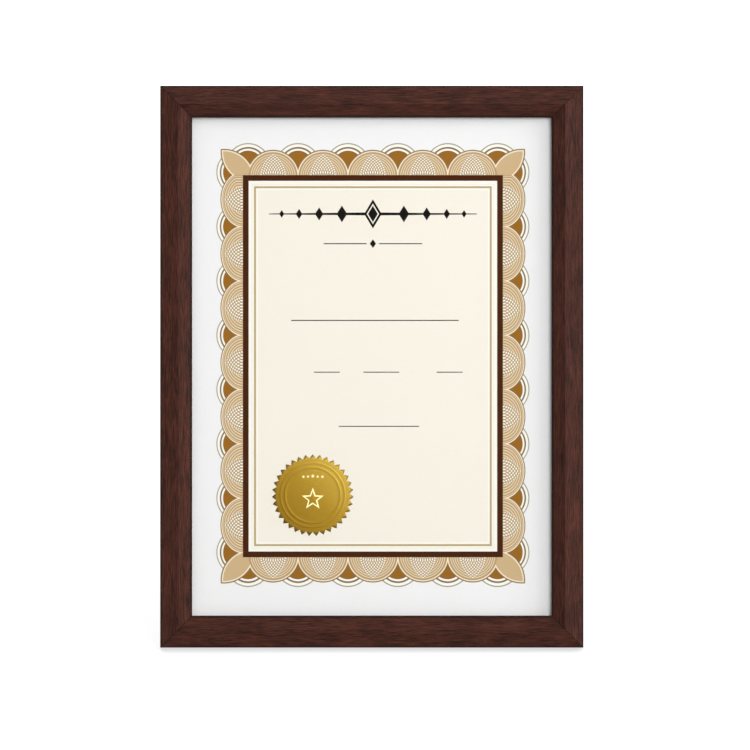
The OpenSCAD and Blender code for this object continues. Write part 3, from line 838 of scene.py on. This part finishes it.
def seal_point(step_out, spoke):
    """A point of the pressed front, and how pale it is. The last step out follows the teeth."""
    turn = 2 * pi * spoke / SPOKES
    on_teeth = step_out > SEAL_ROUNDS
    tooth = abs(spoke * SEAL_TEETH % SPOKES / SPOKES * 2 - 1)
    away = SEAL_TIP - TOOTH_DEEP + TOOTH_DEEP * tooth + TIP_OUT if on_teeth else step_out * SEAL_STEP
    x, y = away * sin(turn), away * cos(turn)
    height, design = pressing(x, y)
    drop = EDGE_DROP if on_teeth else 0.0
    return (SEAL_AT[0] + x, SEAL_AT[1] + y, SEAL_FRONT + height - drop), design


def band_between(inner, outer):
    """Faces between two rounds of points, whose first points are inner and outer."""
    rounds = [(spoke, (spoke + 1) % SPOKES) for spoke in range(SPOKES)]
    return [(inner + a, inner + b, outer + b, outer + a) for a, b in rounds]


def fan(middle, first, front):
    """Faces from one middle point to a round of points."""
    rounds = [(spoke, (spoke + 1) % SPOKES) for spoke in range(SPOKES)]
    return [(middle, first + b, first + a) if front else (first + a, first + b, middle)
            for a, b in rounds]


def seal_mesh():
    """Rounds of points out to the teeth for the pressed front, then a rim and a plain back."""
    points, pale = [(SEAL_AT[0], SEAL_AT[1], SEAL_FRONT + pressing(0, 0)[0])], [0.0]
    for step_out in range(1, SEAL_ROUNDS + 2):
        for spoke in range(SPOKES):
            point, design = seal_point(step_out, spoke)
            points.append(point)
            pale.append(design)
    faces = fan(0, 1, front=True)
    for k in range(SEAL_ROUNDS):
        faces += band_between(1 + k * SPOKES, 1 + (k + 1) * SPOKES)
    teeth, back = len(points) - SPOKES, len(points)
    points += [(x, y, SEAL_BACK) for x, y, _ in points[teeth:]]
    faces += band_between(teeth, back)
    points.append((SEAL_AT[0], SEAL_AT[1], SEAL_BACK))
    faces += fan(len(points) - 1, back, front=False)
    pale += [0.0] * (len(points) - len(pale))
    return points, faces, pale


points, faces, pale = seal_mesh()
print("seal pressed:", len(points), "points, highest", round(max(p[2] for p in points), 2), "mm")

# %% [markdown]
# ### The foil's finish
#
# Foil is metal, so most of its colour is what it mirrors, and an even one looks like plastic. A
# fine grain in its bump and roughness breaks the mirroring up. A slow sweep of painted light and
# shade runs over the colour, darker low on the left and lighter up on the right, and the cut teeth,
# bent a little backwards by the die, get painted shade that makes them darker still.

# %% Gold foil
GOLD_PAINTED_SHADE, GOLD_MID, GOLD_PAINTED_LIGHT = rgb("705517"), rgb("896c22"), rgb("a78c3a")
TOOTH_PAINTED_SHADE, DESIGN = rgb("5c4614"), rgb("fff3bf")
PAINTED_SWEEP_PER_MM = 0.014
GRAIN_SHOWS = 0.55


def gold_foil():
    """Satin gold with painted light and shade, darker low on the left and out on the teeth, with the
    mesh's pale design.
    """
    material, shader = new_material("gold_foil", Metallic=1.0)
    across, along, outward = place_on_face()
    from_left, from_low = across - SEAL_AT[0], along - SEAL_AT[1]
    grain = noise(vector(across, along, outward), 1.6, detail=4.0, roughness=0.75)
    # Painted light and shade: the gold is darker low on the left and lighter up on the right.
    painted_light_sweep = clamp((from_left + from_low) * PAINTED_SWEEP_PER_MM + (grain - 0.5) * GRAIN_SHOWS + 0.5)
    gold = ramp(painted_light_sweep, [(0.0, GOLD_PAINTED_SHADE), (0.5, GOLD_MID), (1.0, GOLD_PAINTED_LIGHT)])
    on_teeth = step(length(from_left, from_low), SEAL_TIP - 0.4 * TOOTH_DEEP, TOOTH_DEEP)
    # Painted shade: the teeth are darker, most of all low on the left.
    gold = mix(on_teeth * (0.5 - painted_light_sweep * 0.45), gold, TOOTH_PAINTED_SHADE)
    design = Wire(Wire.node("ShaderNodeAttribute", {"attribute_name": "pale"}).outputs["Fac"])
    feed(shader, Base_Color=mix(design, gold, DESIGN), Roughness=0.4 + grain * 0.16 + design * 0.2,
         Normal=bump(grain, 0.3, 0.03 * MM))
    return material


seal = new_piece("embossed_seal", points, faces, gold_foil(), "frame", "foil_seal")
marks = seal.data.attributes.new("pale", "FLOAT", "POINT")
marks.data.foreach_set("value", pale)
print("foil laid,", round(sum(pale)), "of", len(pale), "points in the pale design")

# %% The seal's map and its smooth front
SEAL_FACING = 0.3
SEAL_FRONT_SHARE, SEAL_CORNER_SHARE = 0.49, 0.05
SEAL_LOW_CORNER, SEAL_HIGH_CORNER = 0.06, 0.94


def seal_spot(face, at):
    """Front over the whole square; rim and back over corners that the round front leaves."""
    x, y = (at.x - SEAL_AT[0]) / SEAL_TIP, (at.y - SEAL_AT[1]) / SEAL_TIP
    if face.normal.dot(out) > SEAL_FACING:
        return (0.5 + x * SEAL_FRONT_SHARE, 0.5 + y * SEAL_FRONT_SHARE)
    if face.normal.dot(out) < -SEAL_FACING:
        return (SEAL_LOW_CORNER + x * SEAL_CORNER_SHARE, SEAL_LOW_CORNER + y * SEAL_CORNER_SHARE)
    spread = SEAL_CORNER_SHARE * (1 + (at.z - SEAL_BACK) * 0.4)
    return (SEAL_HIGH_CORNER + x * spread, SEAL_LOW_CORNER + y * spread)


for face in seal.data.polygons:
    face.use_smooth = face.normal.dot(out) > SEAL_FACING
lay_map(seal, seal_spot)
print("seal smoothed over", sum(face.use_smooth for face in seal.data.polygons), "faces")

# %% [markdown]
# ## Behind the glass: card and covered board
#
# The board is 3 mm hardboard wrapped in black paper with a fine leather grain, and the leg is cut
# from the same stuff, so its cut edges show brown fibre. Which faces are cut edges is read from
# the solid's own normal: paper where it looks out of the board, fibre elsewhere. The card that
# packs the sheet against the glass is grey-brown pulp.

# %% Covered hardboard
BLACK_LOW, BLACK_HIGH, BLACK_WORN = rgb("131211"), rgb("2a2826"), rgb("45413c")
FIBRE_LOW, FIBRE_MID, FIBRE_HIGH = rgb("5a402b"), rgb("7b5a3c"), rgb("96734f")
CELLS_PER_MM = 0.75


def leather_grain(place):
    """Height of small rounded cells with creases between, as on embossed bookbinder's paper."""
    cells = Wire.node("ShaderNodeTexVoronoi", {"feature": "DISTANCE_TO_EDGE"},
                      Vector=vector(*place), Scale=CELLS_PER_MM, Randomness=0.9)
    fine = noise(vector(*place), 2.4, detail=3.0)
    return clamp(Wire(cells.outputs["Distance"]) * 3.2) * 0.8 + fine * 0.3


def covered_board(name, slant):
    """Black grained paper on hardboard. slant turns the test for its faces with a sloping leg."""
    material, shader = new_material(name, Specular_IOR_Level=0.35)
    place = place_on_face()
    normal = Wire.node("ShaderNodeTexCoord").outputs["Normal"]
    facing = reach_along(normal, Matrix.Rotation(slant, 3, "X") @ out)
    covered = step(abs(facing), 0.8, 0.1)
    grain = leather_grain(place)
    worn = noise(vector(*place), 0.06, detail=4.0, roughness=0.65)
    black = mix(clamp(grain), BLACK_LOW, BLACK_HIGH)
    black = mix(clamp((worn - 0.52) * 2.5) * 0.35, black, BLACK_WORN)
    layers = vector(place[0] * 0.7, place[1] * 0.7, place[2] * 6)
    fibre = noise(layers, 1.2, detail=4.0, roughness=0.7)
    brown = ramp(fibre, [(0.25, FIBRE_LOW), (0.5, FIBRE_MID), (0.75, FIBRE_HIGH)])
    feed(shader, Base_Color=mix(covered, brown, black),
         Roughness=mix_value(covered, 0.85, 0.42 + worn * 0.2),
         Normal=bump(mix_value(covered, fibre, grain), 0.5, 0.08 * MM))
    return material


dress("backing_board", covered_board("covered_board", 0.0))
print("board covered")

# %% Grey card
PULP_LOW, PULP_HIGH, FLECK = rgb("8d8271"), rgb("a89d8a"), rgb("5e5344")


def grey_card():
    """Grey-brown pulp card with flecks."""
    material, shader = new_material("grey_card", Specular_IOR_Level=0.2, Roughness=0.9)
    place = place_on_face()
    pulp = noise(vector(*place), 0.8, detail=5.0, roughness=0.7)
    flecks = step(noise(vector(*place), 1.7, detail=2.0), 0.66, 0.04)
    colour = mix(flecks * 0.5, ramp(pulp, [(0.3, PULP_LOW), (0.7, PULP_HIGH)]), FLECK)
    feed(shader, Base_Color=colour, Normal=bump(pulp, 0.3, 0.1 * MM))
    return material


dress("packing_card", grey_card())
print("card cut")

# %% [markdown]
# ## Leg and metalwork
#
# The leg is covered like the board. The small steel parts are stamped from strip and plated: bright
# nickel on the hinge and hangers, duller zinc on the turn buttons, plain steel for pin, nails and
# rings. All are the same material with other numbers: a grey base, streaks from rolling along one
# direction, and cloudy roughness where the plating is thin.

# %% Plated steel
SPECK = rgb("4d4a46")
ROLLED_ALONG, ROLLED_ACROSS = 0.5, 9.0


def plated_steel(name, light, dark, roughness, streak, clouds):
    """Plated strip. streak is how much the rolling marks show, clouds how patchy the shine is."""
    material, shader = new_material(name, Metallic=1.0)
    place = place_on_face()
    strip = vector(place[0] * ROLLED_ALONG, place[1] * ROLLED_ACROSS, place[2] * ROLLED_ACROSS)
    rolled = noise(strip, 1.0, detail=3.0, roughness=0.6)
    cloudy = noise(vector(*place), 0.35, detail=4.0, roughness=0.6)
    specks = step(noise(vector(*place), 3.4, detail=2.0), 0.68, 0.06)
    tone = clamp((rolled - 0.5) * streak + (cloudy - 0.5) * clouds + 0.5)
    colour = mix(specks * 0.35, mix(tone, rgb(dark), rgb(light)), SPECK)
    feed(shader, Base_Color=colour,
         Roughness=clamp(roughness + (cloudy - 0.5) * 0.25 + specks * 0.2),
         Normal=bump(rolled * 0.5 + cloudy * 0.5, 0.25, 0.03 * MM))
    return material


zinc = plated_steel("zinc_plate", "c3c6c8", "8f9294", 0.36, 1.2, 1.4)
nickel = plated_steel("nickel_plate", "d4d0c8", "a39e94", 0.24, 0.7, 0.9)
steel = plated_steel("bright_steel", "b4b6b9", "7c7e80", 0.3, 1.4, 0.8)
for node in solids:
    if node.startswith("turn_button"):
        dress(node, zinc)
    elif node.startswith("hanger_ring") or node in ("hinge_pin", "corner_nails"):
        dress(node, steel)
    elif node.startswith(("hinge_", "hanger_")):
        dress(node, nickel)
print("plated:", zinc.name, nickel.name, steel.name)

# %% The leg
LEG_LEAN = radians(10.234)
leg_slant = lean + LEG_LEAN
dress("easel_leg", covered_board("covered_leg", leg_slant))
print("leg covered, its faces turned", round(degrees(leg_slant), 1), "degrees from the board's")

# %% [markdown]
# ## Studio, camera and light
#
# The picture looks square onto the face from far away, so the outline stays a true rectangle. A
# long lens well back does that and still lets other views frame the object. The floor and the
# world look white to the camera, to glossy rays and through glass, by a Light Path mask, so they
# don't have to be lit to white; the floor keeps the shadow that it really receives. Far from the
# object the floor glows a little more, so that it meets the world without a line.

# %% Camera square to the face
PIXELS = 750
OUTER_WIDE, OUTER_TALL = 2 * HALF_FACE[0] * MM, 2 * HALF_FACE[1] * MM
PHOTO_LEFT, PHOTO_RIGHT = 160.0, 583.6
PHOTO_TOP, PHOTO_BOTTOM = 86.3, 647.0
FAR = 10.0
px_per_m = ((PHOTO_RIGHT - PHOTO_LEFT) / OUTER_WIDE + (PHOTO_BOTTOM - PHOTO_TOP) / OUTER_TALL) / 2
view_wide = PIXELS / px_per_m
camera_data = bpy.data.cameras.new("camera")
camera = bpy.data.objects.new("camera", camera_data)
bpy.context.scene.collection.objects.link(camera)
bpy.context.scene.camera = camera
camera_data.lens = camera_data.sensor_width * FAR / view_wide
camera_data.clip_start, camera_data.clip_end = 0.5, 60.0
shift_right = (PIXELS / 2 - (PHOTO_LEFT + PHOTO_RIGHT) / 2) / px_per_m
shift_up = ((PHOTO_TOP + PHOTO_BOTTOM) / 2 - PIXELS / 2) / px_per_m
camera.location = sheet_middle + right * shift_right + up * shift_up + out * FAR
camera.rotation_mode = "QUATERNION"
camera.rotation_quaternion = (-out).to_track_quat("-Z", "Y")
print("lens", round(camera_data.lens), "mm, scale", round(px_per_m * MM, 3), "px per mm")

# %% White floor
FLOOR_GREY = (0.42, 0.42, 0.42, 1)
FLOOR_WIDE, FLOOR_MIDDLE = 12.0, 2.0
FLOOR_GLOW, FADE_AT = 0.7, 1.2
FAR_GLOW = (1.5, 1.5, 1.5, 1)


def seen_directly():
    """1 for rays that reach the camera straight, off gloss or through glass."""
    path = Wire.node("ShaderNodeLightPath")
    seen = most(Wire(path.outputs["Is Camera Ray"]), Wire(path.outputs["Is Glossy Ray"]))
    return most(seen, Wire(path.outputs["Is Transmission Ray"]))


def floor_paint():
    """Matt grey that looks white directly, and a little more so far from the object."""
    material, shader = new_material("studio_floor", Base_Color=FLOOR_GREY, Roughness=0.9,
                                    Specular_IOR_Level=0.0, Emission_Strength=FLOOR_GLOW)
    place = Wire.node("ShaderNodeTexCoord").outputs["Object"]
    spot = Wire.node("ShaderNodeSeparateXYZ", Vector=place)
    away = length(Wire(spot.outputs["X"]), Wire(spot.outputs["Y"]) + FLOOR_MIDDLE)
    glow = mix(step(away, FADE_AT, FADE_AT), WHITE, FAR_GLOW)
    feed(shader, Emission_Color=mix(seen_directly(), BLACK, glow))
    return material


bpy.ops.mesh.primitive_plane_add(size=FLOOR_WIDE, location=(0, FLOOR_MIDDLE, 0))
floor = bpy.context.object
floor.name = "studio_floor"
floor.data.materials.append(floor_paint())
print("floor laid,", FLOOR_WIDE, "m wide")

# %% White world, a little brighter on the right
WORLD_LIGHT, WORLD_LEAN = 0.44, 0.7
BRIGHT_SIDE = Vector((0.85, -0.35, 0.4)).normalized()
world = bpy.data.worlds.new("studio_world")
bpy.context.scene.world = world
world.use_nodes = True
Wire.tree = world.node_tree
background = Wire.tree.nodes["Background"]
background.inputs["Color"].default_value = WHITE
towards = reach_along(Wire.node("ShaderNodeTexCoord").outputs["Generated"], BRIGHT_SIDE)
seen = seen_directly()
light = seen + (1 - seen) * (towards * WORLD_LEAN + 1) * WORLD_LIGHT
Wire.join(light, background.inputs["Strength"])
print("world lights from", round(WORLD_LIGHT * (1 - WORLD_LEAN), 2), "to",
      round(WORLD_LIGHT * (1 + WORLD_LEAN), 2))

# %% [markdown]
# ### Lamps
#
# Three soft boxes give the even light of a studio. Their strength could be set in watts by trial,
# but that changes with every move of a lamp. Here level is how bright a lamp makes a white surface
# that looks straight out of the face, and the watts follow from distance and angle. The fill lights
# the print, the key on the right parts the lit and shaded slopes of the mouldings, and the rear
# lamp shows the back in views from behind.

# %% Lamps
def soft_box(name, sideways, raised, away, size, level, front=1):
    """A square lamp that gives the face, or the back where front is -1, that level of light.

    sideways and raised are its angles in degrees off the way the face looks out."""
    across, above = radians(sideways), radians(raised)
    way = (out * cos(across) * front + right * sin(across)) * cos(above) + up * sin(above)
    data = bpy.data.lights.new(name, "AREA")
    data.shape = "SQUARE"
    data.size = size
    data.energy = level * (pi * away) ** 2 / (cos(across) * cos(above))
    made = bpy.data.objects.new(name, data)
    bpy.context.scene.collection.objects.link(made)
    made.location = sheet_middle + way * away
    made.rotation_mode = "QUATERNION"
    made.rotation_quaternion = (-way).to_track_quat("-Z", "Y")
    print(name, "at", short(made.location, 2), "with", round(data.energy, 1), "W")


soft_box("fill", sideways=15, raised=10, away=3.0, size=1.0, level=0.43)
soft_box("key", sideways=64, raised=20, away=2.4, size=1.0, level=0.15)
soft_box("rear", sideways=-25, raised=45, away=3.0, size=1.6, level=0.4, front=-1)
bpy.context.scene.view_settings.view_transform = "Standard"
